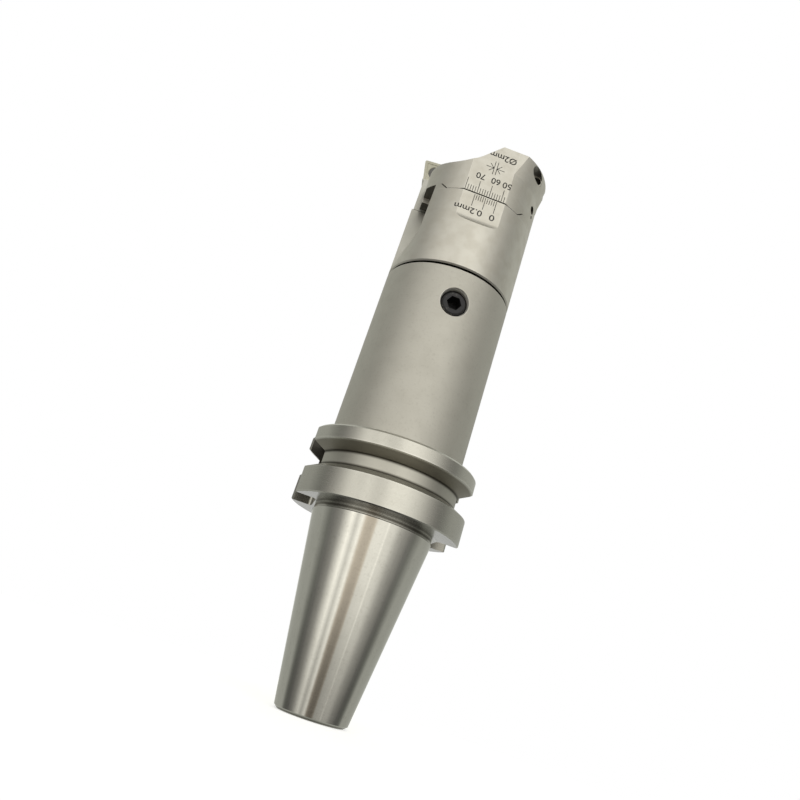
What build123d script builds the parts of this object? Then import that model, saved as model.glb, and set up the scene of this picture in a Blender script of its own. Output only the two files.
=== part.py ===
from build123d import *
import math
import os

# Twin-edge rough boring head on its 7/24 taper arbor, in millimetres.
# The origin is the centre of the taper's gauge line. +Z runs to the cutting end, the front side
# with the scale faces -Y, and the two cartridges slide along X.

# Taper, flange and body of the arbor
gauge_d = 44.45
taper_rate = 7 / 24
taper_length = 65.4
taper_end_chamfer = 1.0
neck_d = 43.9
flange_d = 63.0
flange_face_z = 2.0
flange_width = 25.0
flange_lower_chamfer = 0.4
flange_upper_chamfer = 0.8
groove_middle_z = 16.6
groove_depth = 5.0
groove_root_width = 4.7
groove_flank_angle = 30.0
key_width = 16.1
key_depth = 8.9
key_floor_radius = 1.5
key_mouth_chamfer = 0.9
stud_pilot_d = 17.0
stud_pilot_depth = 6.0
stud_thread_d = 14.0
stud_thread_depth = 32.0
body_d = 50.0
body_root_bevel = 1.0
joint_z = 97.5
coolant_d = 8.0

# Coupling between the arbor and the head
clocking = 3.1
spigot_d = 28.0
spigot_length = 32.0
spigot_end_chamfer = 1.5
socket_end_gap = 1.0
socket_chamfer = 1.2
joint_chamfer = 0.55
joint_relief = 0.85
joint_relief_width = 2.5
arbor_edge_chamfer = 0.4
lock_d = 10.0
lock_drop = 13.7
lock_recess = 1.0
lock_end_chamfer = 0.9
lock_point_flat = 2.4
lock_seat_depth = 3.0
lock_rim = 0.5
lock_hex = 5.0
lock_hex_depth = 5.5
lock_hex_turn = 30.0
drive_pin_d = 6.0
drive_pin_drop = 5.0
drive_pin_inner = 7.0
drive_pin_outer = 18.0

# Head body
head_length = 60.2
cartridge_height = 25.65
rail_height = 2.55
rail_inner_y = 5.3
rail_outer_y = 18.0
rail_flank_run = 2.0
flat_depth = 1.53
flat_start_drop = 10.45
flat_runout_radius = 4.0
gullet_depth = 5.9
gullet_wall_drop = 12.05
gullet_floor_radius = 38.0
gullet_back_y = 1.5
branch_d = 4.0
branch_drop = 14.55
branch_aim_y = -6.5

# Cartridges, described for the front one, which slides towards +X
bore_min = 53.0
bore_max = 70.0
split_gap = 0.2
lip_gap = 0.15
seam_bevel_height = 0.4
seam_bevel_depth = 0.8
tip_above_top = 0.15
flare_height = 15.15
flare_angle = 8.25
roof_x = 1.7
roof_angle = 47.5
roof_radius = 15.0
tail_height = 13.15
tail_overhang = 2.9
tail_undercut = 0.4
tail_corner_radius = 3.0
end_relief = 0.7
end_relief_drop = 8.5
end_relief_run = 2.0
insert_face_relief = 1.4
insert_face_reach = 9.5

# Insert and its seat
insert_circle = 9.525
insert_corner = 80.0
insert_thickness = 3.97
insert_relief = 7.0
insert_nose = 0.8
insert_hole_d = 4.4
insert_sink_d = 5.9
insert_rim = 1.1
insert_chip_depth = 0.25
chip_wall_angle = 30.0
tip_behind_centre = 2.0
seat_axial_tilt = 6.5
seat_radial_tilt = 7.0
seat_corner_d = 1.6
insert_screw_d = 4.0
insert_screw_length = 10.5
insert_screw_head_d = 5.6
insert_screw_recess_d = 3.2
insert_screw_recess_depth = 1.6
screw_exit_d = 5.1
screw_exit_start = 13.0
star_waist = 0.72
sink_angle = 60.0

# Clamp screw and washer of a cartridge
clamp_d = 5.0
clamp_x = -6.0
clamp_y = -10.8
clamp_floor_height = 9.95
clamp_head_d = 8.5
clamp_head_height = 5.0
clamp_hex = 4.0
clamp_hex_depth = 2.6
clamp_engagement = 11.0
clamp_hole_spare = 2.0
washer_d = 9.4
washer_thickness = 1.0

# Adjusting screw, its retaining pin and the post that it turns in
adjust_d = 3.0
adjust_y = -12.9
adjust_height = 9.75
adjust_inner_x = 0.3
adjust_outer_x = 19.2
adjust_hex = 1.5
adjust_hex_depth = 1.6
neck_x = 16.4
adjust_neck_d = 1.9
neck_width = 1.7
pin_d = 1.5
pin_reach = 7.5
dot_d = 1.3
dot_inner_x = 19.5
dot_beside_screw = 1.0
dot_under_screw = 2.6
post_d = 6.0
post_x = 12.0
post_above_screw = 1.2
post_depth = 10.0

# Clearances
fixed_fit = 0.01
coupling_fit = 0.02
running_fit = 0.06
guide_gap = 0.05
flank_gap = 0.4
free_gap = 0.25
seat_gap = 0.05

# Levels and places that follow from the sizes above
body_r = body_d / 2
flange_r = flange_d / 2
flange_top_z = flange_face_z + flange_width
key_floor = flange_r - key_depth
groove_root_r = flange_r - groove_depth
root_bevel = min(body_root_bevel, (flange_r - flange_upper_chamfer - body_r) / 2)
small_end_r = (gauge_d - taper_rate * taper_length) / 2
lock_z = joint_z - lock_drop
tip_z = joint_z + head_length
top_z = tip_z - tip_above_top
ledge_z = tip_z - cartridge_height
rail_z = ledge_z + rail_height
lip_z = ledge_z + lip_gap
flare_z = ledge_z + flare_height
flare_top_r = body_r + (top_z - flare_z) * math.tan(math.radians(flare_angle))
flat_y = body_r - flat_depth
tail_z = ledge_z + tail_height
clamp_floor_z = ledge_z + clamp_floor_height
adjust_z = ledge_z + adjust_height
post_top_z = adjust_z + adjust_d / 2 + post_above_screw
pin_z = adjust_z - adjust_neck_d / 2 - pin_d / 2 - running_fit
travel = (bore_max - bore_min) / 2
gullet_wall_x = gullet_depth - body_r
gullet_wall_z = ledge_z - gullet_wall_drop
flat_start_z = ledge_z - flat_start_drop
insert_face_y = -insert_face_relief - split_gap / 2
beyond = 2 * body_d

# A turn by half a revolution makes a rear piece from a front one
half_turn = Rot(0, 0, 180)
coupling_turn = Rot(0, 0, clocking)


def turned(*points):
    """Solid of revolution about Z from points of radius and height."""
    return revolve(Plane.XZ * make_face(Polyline(*points, close=True)), Axis.Z)


def along_x(face, start, end):
    """Prism of a face drawn in y and z, from one x to another."""
    return Pos(start, 0, 0) * extrude(Plane.YZ * face, amount=end - start)


def along_y(face, start, end):
    """Prism of a face drawn in x and z, from one y to another."""
    return Pos(0, end, 0) * extrude(Plane.XZ * face, amount=end - start)


def along_z(face, start, end):
    """Prism of a face drawn in x and y, from one height to another."""
    return Pos(0, 0, start) * extrude(face, amount=end - start)


def outline(*points):
    """Flat face inside a closed line of straight runs."""
    return make_face(Polyline(*points, close=True))


def rod(radius, start, direction, length):
    """Round bar from a point along a direction."""
    bottom = (Align.CENTER, Align.CENTER, Align.MIN)
    return Plane(origin=start, z_dir=direction) * Cylinder(radius, length, align=bottom)


def taper_rod(start_radius, end_radius, start, direction, length):
    """Round cone frustum from a point along a direction."""
    bottom = (Align.CENTER, Align.CENTER, Align.MIN)
    return Plane(origin=start, z_dir=direction) * Cone(start_radius, end_radius, length, align=bottom)


def hex_socket(across_flats, start, direction, depth, turn=0):
    """Six-sided key socket, to be cut from a screw's end."""
    hexagon = RegularPolygon(across_flats / 2, 6, major_radius=False, rotation=turn)
    return Plane(origin=start, z_dir=direction) * extrude(hexagon, amount=depth)


def both_sides(cutter):
    """A cutter together with its half-turn copy."""
    return [cutter, half_turn * cutter]


def lock_frame_point(reach):
    """Point on the lock screw's axis, before the coupling is clocked."""
    return (0, -reach, lock_z)


# Taper arbor


def arbor_blank():
    """Taper, flange with its gripper groove and body, turned in one profile."""
    flank = groove_depth * math.tan(math.radians(groove_flank_angle))
    root_low = groove_middle_z - groove_root_width / 2
    root_high = groove_middle_z + groove_root_width / 2
    profile = [
        (0, -taper_length),
        (small_end_r - taper_end_chamfer, -taper_length),
        (small_end_r + taper_end_chamfer * taper_rate / 2, taper_end_chamfer - taper_length),
        (gauge_d / 2, 0),
        (neck_d / 2, (gauge_d - neck_d) / 2),
        (neck_d / 2, flange_face_z),
        (flange_r - flange_lower_chamfer, flange_face_z),
        (flange_r, flange_face_z + flange_lower_chamfer),
        (flange_r, root_low - flank),
        (groove_root_r, root_low),
        (groove_root_r, root_high),
        (flange_r, root_high + flank),
        (flange_r, flange_top_z - flange_upper_chamfer),
        (flange_r - flange_upper_chamfer, flange_top_z),
        (body_r + root_bevel, flange_top_z),
        (body_r, flange_top_z + root_bevel),
        (body_r, joint_z - arbor_edge_chamfer),
        (body_r - arbor_edge_chamfer, joint_z),
        (0, joint_z),
    ]
    return turned(*profile)


def drive_keyway():
    """Keyway through both rings of the flange, with rounded floor corners and a chamfered mouth."""
    half = key_width / 2
    mouth_x = math.sqrt(flange_r ** 2 - half ** 2) - key_mouth_chamfer
    flare = flange_r + 1 - mouth_x
    face = outline(
        (key_floor, -half),
        (mouth_x, -half),
        (mouth_x + flare, -half - flare),
        (mouth_x + flare, half + flare),
        (mouth_x, half),
        (key_floor, half),
    )
    floor_corners = face.vertices().sort_by(Axis.X)[:2]
    face = fillet(floor_corners, key_floor_radius)
    return along_z(face, flange_face_z - 1, flange_top_z)


def pull_stud_bore():
    """Pilot and threaded bore of the pull stud, and the coolant bore on to the socket."""
    pilot = rod(stud_pilot_d / 2, (0, 0, -taper_length), (0, 0, 1), stud_pilot_depth)
    thread_length = stud_pilot_depth + stud_thread_depth
    thread = rod(stud_thread_d / 2, (0, 0, -taper_length), (0, 0, 1), thread_length)
    coolant = rod(coolant_d / 2, (0, 0, -taper_length), (0, 0, 1), taper_length + joint_z)
    return [pilot, thread, coolant]


def coupling_socket():
    """Socket for the spigot, open at the joint face, with a chamfered mouth."""
    socket_r = spigot_d / 2 + coupling_fit
    floor_z = joint_z - spigot_length - socket_end_gap
    return turned(
        (0, floor_z),
        (socket_r, floor_z),
        (socket_r, joint_z - socket_chamfer),
        (socket_r + socket_chamfer, joint_z),
        (socket_r + socket_chamfer, joint_z + 1),
        (0, joint_z + 1),
    )


def drive_pin_slot(side):
    """Slot in the socket's mouth that a drive pin drops into."""
    half = drive_pin_d / 2 + running_fit
    reach = drive_pin_outer + free_gap
    floor_z = joint_z - drive_pin_drop
    channel = along_z(outline((0, -half), (reach, -half), (reach, half), (0, half)), floor_z, joint_z + 1)
    floor = rod(half, (0, 0, floor_z), (1, 0, 0), reach)
    return Rot(0, 0, 90 - 90 * side) * (channel + floor)


def lock_hole():
    """Hole of the lock screw through the arbor's wall, with a bevelled rim."""
    bore_r = lock_d / 2 + running_fit
    bore = rod(bore_r, lock_frame_point(0), (0, -1, 0), body_r + 1)
    rim_reach = math.sqrt(body_r ** 2 - bore_r ** 2) - 2 * lock_rim
    rim = taper_rod(bore_r, bore_r + 2 * lock_rim, lock_frame_point(rim_reach), (0, -1, 0), 4 * lock_rim)
    return bore + rim


def make_taper_arbor():
    """Arbor with its keyways, pull-stud bore, coupling socket and lock screw hole."""
    cutters = [lock_hole(), drive_pin_slot(1), drive_pin_slot(-1)]
    cutters += both_sides(drive_keyway())
    cutters = [coupling_turn * cutter for cutter in cutters]
    return arbor_blank() - cutters - pull_stud_bore() - coupling_socket()


def lock_point():
    """Cone point of the lock screw as radii and reaches from the tool's axis."""
    tip_reach = spigot_d / 2 - lock_seat_depth
    cone_length = (lock_d - lock_point_flat) / 2
    return tip_reach, cone_length


def make_lock_screw():
    """Socket screw with a cone point that bears in the spigot's dimple."""
    tip_reach, cone_length = lock_point()
    outer_reach = body_r - lock_recess
    shank = rod(lock_d / 2, lock_frame_point(tip_reach + cone_length), (0, -1, 0),
                outer_reach - tip_reach - cone_length)
    point = taper_rod(lock_point_flat / 2, lock_d / 2, lock_frame_point(tip_reach), (0, -1, 0), cone_length)
    screw = shank + point
    outer_rim = screw.edges().filter_by(GeomType.CIRCLE).sort_by(Axis.Y)[0]
    screw = chamfer(outer_rim, lock_end_chamfer)
    mouth = lock_frame_point(outer_reach)
    screw -= hex_socket(lock_hex, mouth, (0, 1, 0), lock_hex_depth, lock_hex_turn)
    return coupling_turn * screw


def make_drive_pin(side):
    """Dowel across the spigot's root, standing out into its slot in the arbor."""
    pin = rod(drive_pin_d / 2, (drive_pin_inner, 0, joint_z - drive_pin_drop), (1, 0, 0),
              drive_pin_outer - drive_pin_inner)
    return coupling_turn * Rot(0, 0, 90 - 90 * side) * pin


# Head body


def rail_face(inner_gap, outer_gap, foot):
    """Section of one slide rail in y and z: upright on the inside, sloped on the outside."""
    slope = rail_flank_run / rail_height
    foot_y = rail_outer_y + slope * (rail_z - foot)
    return outline(
        (inner_gap - rail_inner_y, foot),
        (inner_gap - rail_inner_y, rail_z),
        (-rail_outer_y - outer_gap, rail_z),
        (-foot_y - outer_gap, foot),
    )


def front_flat():
    """Flat for the scale, milled along the front, with a rounded run-out at its lower end."""
    outside = -body_r - flat_runout_radius
    top = tip_z + 1
    face = outline((-flat_y, flat_start_z), (-flat_y, top), (outside, top), (outside, flat_start_z))
    runout = Pos(-flat_y - flat_runout_radius, flat_start_z) * Circle(flat_runout_radius)
    return along_x(face + runout, -beyond, beyond)


def chip_gullet():
    """Chip space in the body's left front, under the rear cartridge's insert."""
    centre_x = gullet_wall_x - gullet_floor_radius
    upright = outline(
        (-beyond, gullet_wall_z),
        (gullet_wall_x, gullet_wall_z),
        (gullet_wall_x, rail_z + 1),
        (-beyond, rail_z + 1),
    )
    scoop = Pos(centre_x, gullet_wall_z) * Circle(gullet_floor_radius)
    below_joint = Pos(centre_x, joint_z - gullet_floor_radius) * Rectangle(
        3 * gullet_floor_radius, 2 * gullet_floor_radius)
    return along_y(upright + scoop - below_joint, -beyond, gullet_back_y)


def coolant_branch():
    """Bore from the centre up to the gullet's wall, towards the rear insert."""
    target = Vector(gullet_wall_x, branch_aim_y, gullet_wall_z)
    start = Vector(0, 0, ledge_z - branch_drop - branch_d)
    path = target - start
    return rod(branch_d / 2, start, path, path.length + branch_d)


def clamp_hole():
    """Threaded hole of the clamp screw in the rail."""
    depth = clamp_engagement + clamp_hole_spare
    return rod(clamp_d / 2 + fixed_fit, (clamp_x, clamp_y, rail_z + 1), (0, 0, -1), depth + 1)


def post_hole():
    """Hole in the rail that holds the nut post."""
    return rod(post_d / 2 + fixed_fit, (post_x, adjust_y, rail_z + 1), (0, 0, -1), post_depth + 1)


def lock_dimple():
    """Conical seat of the lock screw's point in the spigot."""
    tip_reach, cone_length = lock_point()
    seat_r = lock_point_flat / 2 + seat_gap
    return taper_rod(seat_r, seat_r + cone_length, lock_frame_point(tip_reach - seat_gap), (0, -1, 0),
                     cone_length)


def make_head_body():
    """Spigot, body, two slide rails, two gullets and the flats, with the holes of what it carries."""
    spigot_r = spigot_d / 2
    body = turned(
        (0, joint_z - spigot_length),
        (spigot_r - spigot_end_chamfer, joint_z - spigot_length),
        (spigot_r, joint_z - spigot_length + spigot_end_chamfer),
        (spigot_r, joint_z),
        (body_r - joint_relief_width, joint_z),
        (body_r - joint_relief_width, joint_z + joint_relief),
        (body_r - joint_chamfer, joint_z + joint_relief),
        (body_r, joint_z + joint_relief + joint_chamfer),
        (body_r, ledge_z),
        (0, ledge_z),
    )
    rail = along_x(rail_face(0, 0, ledge_z), -body_r, body_r)
    rail &= Pos(0, 0, joint_z) * Cylinder(body_r, body_d, align=(Align.CENTER, Align.CENTER, Align.MIN))
    body = body + rail + half_turn * rail
    cutters = [lock_dimple(), drive_pin_bore(1), drive_pin_bore(-1)]
    cutters = [coupling_turn * cutter for cutter in cutters]
    for cutter in (front_flat(), chip_gullet(), coolant_branch(), clamp_hole(), post_hole()):
        cutters += both_sides(cutter)
    coolant_length = spigot_length + ledge_z - branch_drop - joint_z
    cutters.append(rod(coolant_d / 2, (0, 0, joint_z - spigot_length), (0, 0, 1), coolant_length))
    return body - cutters


def drive_pin_bore(side):
    """Hole across the spigot's root that holds a drive pin."""
    bore = rod(drive_pin_d / 2 + fixed_fit, (drive_pin_inner, 0, joint_z - drive_pin_drop), (1, 0, 0), spigot_d)
    return Rot(0, 0, 90 - 90 * side) * bore


# Insert and its seat


def insert_tip():
    """Sharp corner of the insert, from its centre: u points inwards and v up."""
    half_corner = math.radians(insert_corner / 2)
    reach = insert_circle / 2 / math.sin(half_corner)
    angle = math.pi - half_corner
    return reach * math.cos(angle), reach * math.sin(angle)


def insert_plane():
    """Plane of the front insert's rake face: u inwards, v up, normal out of the face."""
    axial = math.radians(seat_axial_tilt)
    radial = math.radians(seat_radial_tilt)
    normal = Vector(math.sin(radial) * math.cos(axial), math.cos(radial) * math.cos(axial), -math.sin(axial))
    inward = Vector(0, 0, 1).cross(normal).normalized()
    tip = Vector(bore_min / 2, -tip_behind_centre, tip_z)
    tip_u, tip_v = insert_tip()
    upward = normal.cross(inward)
    centre = tip - inward * tip_u - upward * tip_v
    return Plane(origin=centre, x_dir=inward, z_dir=normal)


def insert_outline(shrink):
    """Rhombus of the insert, drawn inside its own lines by shrink."""
    tip_u, tip_v = insert_tip()
    half_corner = math.radians(insert_corner / 2)
    blunt = tip_v * 2 / math.tan(2 * half_corner)
    corners = outline((tip_u, tip_v), (-tip_u - blunt, tip_v), (-tip_u, -tip_v), (tip_u + blunt, -tip_v))
    return scale(corners, 1 - 2 * shrink / insert_circle)


def drafted(face, depth, angle):
    """Prism below a face whose sides draw in by an angle."""
    prism = extrude(face, amount=-depth)
    return draft(prism.faces().filter_by(Axis.Z, reverse=True), Plane.XY, -angle)


def make_front_insert():
    """Indexable insert: relieved flanks, countersunk hole and a sunken chip floor inside its rim."""
    blank = drafted(insert_outline(0), insert_thickness, insert_relief)
    corners = blank.edges().filter_by(lambda edge: abs((edge @ 0).Z - (edge @ 1).Z) > insert_thickness / 2)
    blank = fillet(corners, insert_nose)
    blank -= drafted(insert_outline(insert_rim), insert_chip_depth, chip_wall_angle)
    blank -= rod(insert_hole_d / 2, (0, 0, 0), (0, 0, -1), insert_thickness)
    blank -= sink_cone(insert_sink_d, 0)
    return insert_plane() * blank


def sink_cone(mouth_d, gap):
    """Countersink of the insert's hole, from the chip floor downwards."""
    depth = mouth_d / 2 / math.tan(math.radians(sink_angle / 2))
    return taper_rod(mouth_d / 2, gap, (0, 0, -insert_chip_depth), (0, 0, -1), depth)


def star_recess():
    """Six-pointed key recess of the insert screw."""
    radii = (insert_screw_recess_d / 2, insert_screw_recess_d / 2 * star_waist)
    corners = [(radii[step % 2], math.radians(30 * step)) for step in range(12)]
    return outline(*[(reach * math.cos(turn), reach * math.sin(turn)) for reach, turn in corners])


def make_front_insert_screw():
    """Countersunk screw with a six-lobed recess, from the insert's face into the cartridge."""
    head_gap = (insert_sink_d - insert_screw_head_d) / 2 / math.tan(math.radians(sink_angle / 2))
    head_depth = insert_screw_head_d / 2 / math.tan(math.radians(sink_angle / 2))
    face = -insert_chip_depth - head_gap
    head = taper_rod(insert_screw_head_d / 2, 0, (0, 0, face), (0, 0, -1), head_depth)
    shank = rod(insert_screw_d / 2, (0, 0, face), (0, 0, -1), insert_screw_length)
    screw = head + shank - Pos(0, 0, face) * extrude(star_recess(), amount=-insert_screw_recess_depth)
    return insert_plane() * screw


def insert_pocket():
    """Room for the insert: seat, two walls that it bears against and a drilled corner."""
    tip_u, tip_v = insert_tip()
    floor_v = -tip_v - seat_gap
    corner_u = seat_gap - tip_u
    lean = math.tan(math.radians(90 - insert_corner))
    rise = 2 * insert_circle
    face = outline(
        (-beyond, floor_v),
        (corner_u, floor_v),
        (corner_u - rise * lean, floor_v + rise),
        (-beyond, floor_v + rise),
    )
    face += Pos(corner_u, floor_v) * Circle(seat_corner_d / 2)
    pocket = Pos(0, 0, -insert_thickness) * extrude(face, amount=beyond)
    tapped = rod(insert_screw_d / 2 + running_fit, (0, 0, 0), (0, 0, -1), beyond)
    wide_exit = rod(screw_exit_d / 2, (0, 0, -screw_exit_start), (0, 0, -1), beyond)
    return [insert_plane() * cutter for cutter in (pocket, tapped, wide_exit)]


# Cartridge


def roof_cut():
    """Space over and beyond the tail: a slope, a wide round, the level top and the undercut end."""
    run = 1 / math.tan(math.radians(roof_angle))
    foot_x = roof_x - (top_z - tail_z) * run
    lean = tail_undercut / (tail_z - rail_z)
    low_x = tail_overhang - body_r + lean * (rail_z - lip_z + 1)
    end_x = tail_overhang - body_r - tail_undercut
    face = outline(
        (roof_x + run, top_z + 1),
        (foot_x, tail_z),
        (end_x, tail_z),
        (low_x, lip_z - 1),
        (-beyond, lip_z - 1),
        (-beyond, top_z + 1),
    )
    foot = face.vertices().sort_by_distance((foot_x, tail_z))[0]
    face = fillet(foot, roof_radius)
    corner = face.vertices().sort_by_distance((end_x, tail_z))[0]
    face = fillet(corner, tail_corner_radius)
    return along_y(face, -beyond, beyond)


def end_relief_cut():
    """Relief under the insert, at the cartridge's outer end."""
    relief_x = body_r - end_relief
    relief_z = top_z - end_relief_drop
    relief = outline(
        (relief_x, lip_z - 1),
        (relief_x, relief_z - end_relief_run),
        (relief_x + end_relief_run, relief_z),
        (beyond, relief_z),
        (beyond, lip_z - 1),
    )
    return along_y(relief, -beyond, beyond)


def seam_bevel():
    """Bevel along the scale flat's lower edge, which leaves the seam to the body open."""
    steepness = seam_bevel_height / seam_bevel_depth
    face = outline(
        (seam_bevel_depth - flat_y, lip_z - 1),
        (seam_bevel_depth - flat_y, lip_z),
        (-flat_y - 1, lip_z + seam_bevel_height + steepness),
        (-flat_y - 1, lip_z - 1),
    )
    return along_x(face, -beyond, beyond)


def travel_slot(width, x, y, low, high):
    """Round-ended slot that lets the cartridge travel past a fixed piece."""
    slot = SlotCenterToCenter(travel, width)
    return Pos(x - travel / 2, y, low) * extrude(slot, amount=high - low)


def adjusting_bore():
    """Bore of the adjusting screw, the hole of its retaining pin and the index dot under it."""
    bore_r = adjust_d / 2 + running_fit
    bore_start = adjust_inner_x - free_gap
    bore = rod(bore_r, (bore_start, adjust_y, adjust_z), (1, 0, 0), beyond)
    pin = rod(pin_d / 2 + fixed_fit, (neck_x, pin_inner_y(), pin_z), (0, -1, 0), beyond)
    dot_start = (dot_inner_x, adjust_y + dot_beside_screw, adjust_z - dot_under_screw)
    dot = rod(dot_d / 2, dot_start, (1, 0, 0), beyond)
    return [bore, pin, dot]


def pin_inner_y():
    """Inner end of the retaining pin, past the adjusting screw's neck."""
    return adjust_y + pin_reach / 2


def make_front_cartridge():
    """Slide with the scale flat: flared round side, roof, tail, guide groove, slots and insert seat."""
    blank = turned((0, lip_z), (body_r, lip_z), (body_r, flare_z), (flare_top_r, top_z), (0, top_z))
    front_half = Pos(0, -split_gap / 2, lip_z) * Box(
        beyond, beyond, beyond, align=(Align.CENTER, Align.MAX, Align.MIN))
    groove = along_x(rail_face(guide_gap, flank_gap, lip_z - 1), -beyond, beyond)
    face_relief = Pos(bore_min / 2 - insert_face_reach, insert_face_y, lip_z - 1) * Box(
        beyond, beyond, beyond, align=(Align.MIN, Align.MIN, Align.MIN))
    clamp_slot = travel_slot(clamp_d + 2 * free_gap, clamp_x, clamp_y, lip_z - 1, clamp_floor_z)
    clamp_sink = travel_slot(washer_d + 2 * free_gap, clamp_x, clamp_y, clamp_floor_z, top_z + 1)
    post_room = post_d + 2 * free_gap
    post_slot = Pos(post_x - travel / 2, adjust_y, lip_z - 1) * extrude(
        Rectangle(travel + post_room, post_room), amount=post_top_z + free_gap - lip_z + 1)
    cutters = [front_flat(), roof_cut(), end_relief_cut(), seam_bevel(), groove, face_relief]
    cutters += [clamp_slot, clamp_sink, post_slot]
    cutters += insert_pocket() + adjusting_bore()
    return blank & front_half - cutters


# Screws, washers, pins and posts of the front cartridge


def make_front_clamp_screw():
    """Socket head screw through the cartridge's slot into the rail."""
    head_z = clamp_floor_z + washer_thickness
    shank_low = rail_z - clamp_engagement
    head = rod(clamp_head_d / 2, (clamp_x, clamp_y, head_z), (0, 0, 1), clamp_head_height)
    rim = head.edges().filter_by(GeomType.CIRCLE).sort_by(Axis.Z)[-1]
    head = chamfer(rim, clamp_head_height / 10)
    shank = rod(clamp_d / 2, (clamp_x, clamp_y, shank_low), (0, 0, 1), head_z - shank_low)
    top = (clamp_x, clamp_y, head_z + clamp_head_height)
    return head + shank - hex_socket(clamp_hex, top, (0, 0, -1), clamp_hex_depth)


def make_front_clamp_washer():
    """Washer between the clamp screw's head and the slot's floor."""
    place = Pos(clamp_x, clamp_y, clamp_floor_z)
    ring = Circle(washer_d / 2) - Circle(clamp_d / 2 + running_fit)
    return place * extrude(ring, amount=washer_thickness)


def make_front_adjusting_screw():
    """Adjusting screw with a neck for its retaining pin and a key socket in its outer end."""
    start = (adjust_inner_x, adjust_y, adjust_z)
    screw = rod(adjust_d / 2, start, (1, 0, 0), adjust_outer_x - adjust_inner_x)
    neck = Circle(adjust_d) - Circle(adjust_neck_d / 2)
    neck_plane = Plane(origin=(neck_x - neck_width / 2, adjust_y, adjust_z), z_dir=(1, 0, 0))
    screw -= neck_plane * extrude(neck, amount=neck_width)
    return screw - hex_socket(adjust_hex, (adjust_outer_x, adjust_y, adjust_z), (-1, 0, 0), adjust_hex_depth)


def make_front_retaining_pin():
    """Pin across the adjusting screw's neck, flush with the cartridge's round side."""
    pin = rod(pin_d / 2, (neck_x, pin_inner_y(), pin_z), (0, -1, 0), body_d)
    round_side = Pos(0, 0, lip_z) * Cylinder(
        body_r, head_length, align=(Align.CENTER, Align.CENTER, Align.MIN))
    return pin & round_side


def make_front_nut_post():
    """Round post in the rail, cross-tapped for the adjusting screw."""
    foot_z = rail_z - post_depth
    post = rod(post_d / 2, (post_x, adjust_y, foot_z), (0, 0, 1), post_top_z - foot_z)
    return post - rod(adjust_d / 2 + running_fit, (0, adjust_y, adjust_z), (1, 0, 0), beyond)


def main():
    """Build every piece and write one file for each."""
    os.makedirs("parts", exist_ok=True)
    pieces = {
        "taper_arbor": make_taper_arbor(),
        "lock_screw": make_lock_screw(),
        "drive_pin_right": make_drive_pin(1),
        "drive_pin_left": make_drive_pin(-1),
        "head_body": make_head_body(),
    }
    front_pieces = {
        "cartridge": make_front_cartridge(),
        "insert": make_front_insert(),
        "insert_screw": make_front_insert_screw(),
        "clamp_screw": make_front_clamp_screw(),
        "clamp_washer": make_front_clamp_washer(),
        "adjusting_screw": make_front_adjusting_screw(),
        "retaining_pin": make_front_retaining_pin(),
        "nut_post": make_front_nut_post(),
    }
    for name, piece in front_pieces.items():
        pieces["front_" + name] = piece
        pieces["rear_" + name] = half_turn * piece
    for name, piece in pieces.items():
        export_step(piece, os.path.join("parts", name + ".step"))


main()
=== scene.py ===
# %% [markdown]
# # A rough boring head on its taper arbor
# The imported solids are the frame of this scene. Each one is already in its place, in metres, so nothing
# is moved here. The script adds what solids can't carry: the finish of every surface, the engraved
# scales, a thread's crest and knurls, and a small studio to see them in.

# %% Load the frame
import math

import bmesh
import bpy
import numpy as np
from mathutils import Matrix, Vector


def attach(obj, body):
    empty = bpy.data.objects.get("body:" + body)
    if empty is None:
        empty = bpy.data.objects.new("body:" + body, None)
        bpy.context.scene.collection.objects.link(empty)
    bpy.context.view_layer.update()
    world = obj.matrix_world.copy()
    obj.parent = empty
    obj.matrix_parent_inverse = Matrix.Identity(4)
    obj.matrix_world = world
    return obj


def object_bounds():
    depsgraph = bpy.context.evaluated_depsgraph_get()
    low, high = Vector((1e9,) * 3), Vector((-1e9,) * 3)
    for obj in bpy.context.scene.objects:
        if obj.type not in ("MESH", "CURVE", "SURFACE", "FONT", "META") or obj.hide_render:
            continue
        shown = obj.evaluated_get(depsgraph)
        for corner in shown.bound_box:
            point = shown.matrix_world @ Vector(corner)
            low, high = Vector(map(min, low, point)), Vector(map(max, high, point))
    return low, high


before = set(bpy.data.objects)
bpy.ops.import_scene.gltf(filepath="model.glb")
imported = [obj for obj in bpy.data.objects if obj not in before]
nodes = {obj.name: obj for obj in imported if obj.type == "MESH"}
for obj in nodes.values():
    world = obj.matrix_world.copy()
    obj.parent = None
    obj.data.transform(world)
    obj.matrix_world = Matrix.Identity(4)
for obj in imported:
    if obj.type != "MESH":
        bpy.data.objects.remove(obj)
scene = bpy.context.scene
MM = 0.001
cad_low, cad_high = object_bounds()
print("solids:", len(nodes), "box in mm:", [round(size / MM, 1) for size in cad_high - cad_low])

# %% [markdown]
# ## The camera
# The photograph was taken from close by, a little under the flange and looking up, with the camera
# rolled. A fit of the taper, flange and body edges gave its place. A short distance matters: it makes
# the near parts look larger than the far ones, which a far camera with a long lens can't do.

# %% Camera
camera_place = Vector((-0.023773, -0.265289, -0.045463))
camera_look = Vector((0.06762287, 0.93904169, 0.33708731))
camera_roll = math.radians(18.288)
lens = bpy.data.cameras.new("camera")
lens.lens = 33.42
lens.sensor_width = 36.0
lens.clip_start = 0.005
camera = bpy.data.objects.new("camera", lens)
scene.collection.objects.link(camera)
camera_turn = camera_look.to_track_quat("-Z", "Y").to_matrix() @ Matrix.Rotation(camera_roll, 3, "Z")
camera.matrix_world = Matrix.Translation(camera_place) @ camera_turn.to_4x4()
scene.camera = camera
scene.view_settings.view_transform = "Standard"
print("camera is", round(camera_place.length / MM), "mm from the gauge line")

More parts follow.
